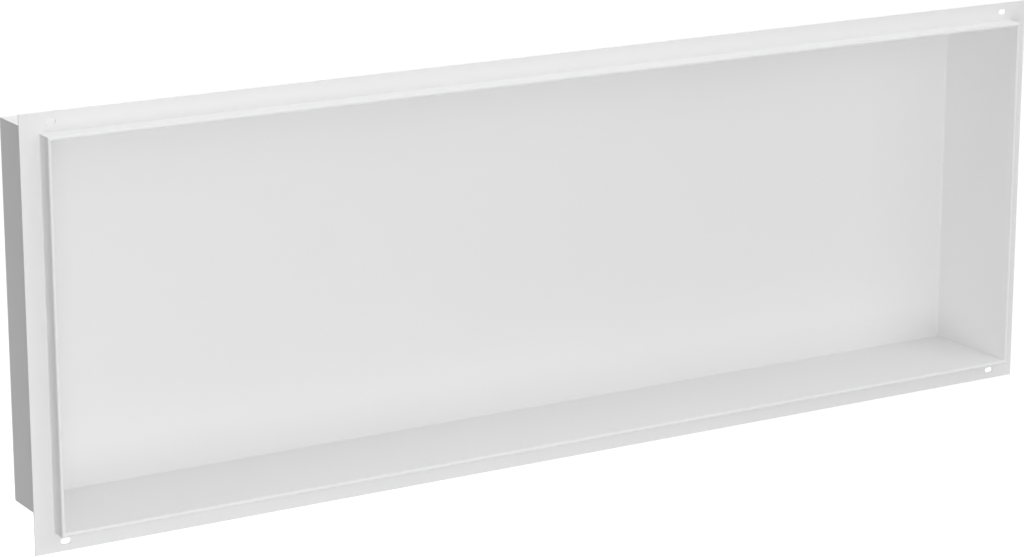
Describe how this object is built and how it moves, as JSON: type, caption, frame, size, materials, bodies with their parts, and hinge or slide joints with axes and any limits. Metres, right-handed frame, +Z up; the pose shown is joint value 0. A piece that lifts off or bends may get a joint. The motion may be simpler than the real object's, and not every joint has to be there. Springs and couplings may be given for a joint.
{
  "type": "shower niche insert",
  "caption": "Shallow rectangular white sheet-metal tub that makes a storage recess in a tiled shower wall, with a hemmed lip at tile level and a slotted flange that the tiles cover.",
  "frame": {"origin": "centre of the opening, in the plane of the flange's back face, which lies on the wall board", "axes": "+X to the right as seen from the room, +Y into the wall, +Z up"},
  "size_m": [0.9384, 0.0975, 0.3384],
  "materials": {
    "white_powder_coat": "satin white powder coat on sheet steel"
  },
  "bodies": {
    "root": {"niche_body": "white_powder_coat"}
  },
  "joints": []
}
